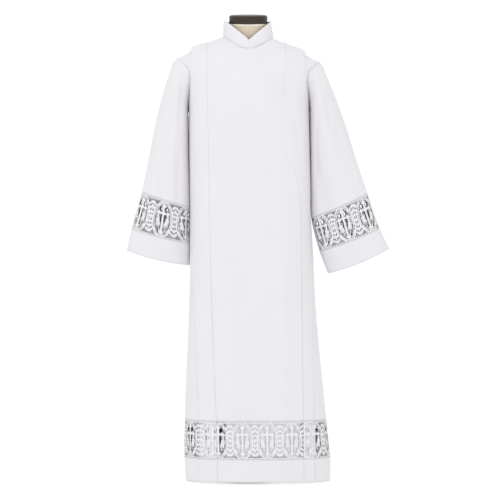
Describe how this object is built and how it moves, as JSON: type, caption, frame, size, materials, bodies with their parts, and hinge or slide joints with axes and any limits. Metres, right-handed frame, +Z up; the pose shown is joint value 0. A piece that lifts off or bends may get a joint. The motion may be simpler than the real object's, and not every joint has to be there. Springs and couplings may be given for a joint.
{
  "type": "alb robe on dress form",
  "caption": "White ankle-length church alb with a crossed stand collar, box pleats and lace bands, on a limbless dress form.",
  "frame": {"origin": "underside centre of the stand's base, on the floor", "axes": "+Z up along the pole, -Y the wearer's front, +X to the right as seen from the front"},
  "size_m": [0.8635, 0.3292, 1.5435],
  "materials": {
    "white_cloth": "plain-weave polyester and cotton, matt",
    "white_lace": "machine-made net lace, matt",
    "linen": "natural linen over the form, matt",
    "dark_cap": "dark brown gloss",
    "painted_steel": "white satin paint"
  },
  "bodies": {
    "root": {"front": "white_cloth", "front_under": "white_cloth", "back": "white_cloth", "sleeve_left": "white_cloth", "sleeve_right": "white_cloth", "collar_over": "white_cloth", "collar_under": "white_cloth", "lace_hem_front": "white_lace", "lace_hem_back": "white_lace", "lace_sleeve_left_front": "white_lace", "lace_sleeve_left_back": "white_lace", "lace_sleeve_right_front": "white_lace", "lace_sleeve_right_back": "white_lace", "hem_front": "white_cloth", "hem_back": "white_cloth", "cuff_left": "white_cloth", "cuff_right": "white_cloth", "form_torso": "linen", "form_cap": "dark_cap", "stand_pole": "painted_steel", "stand_base": "painted_steel"}
  },
  "joints": []
}
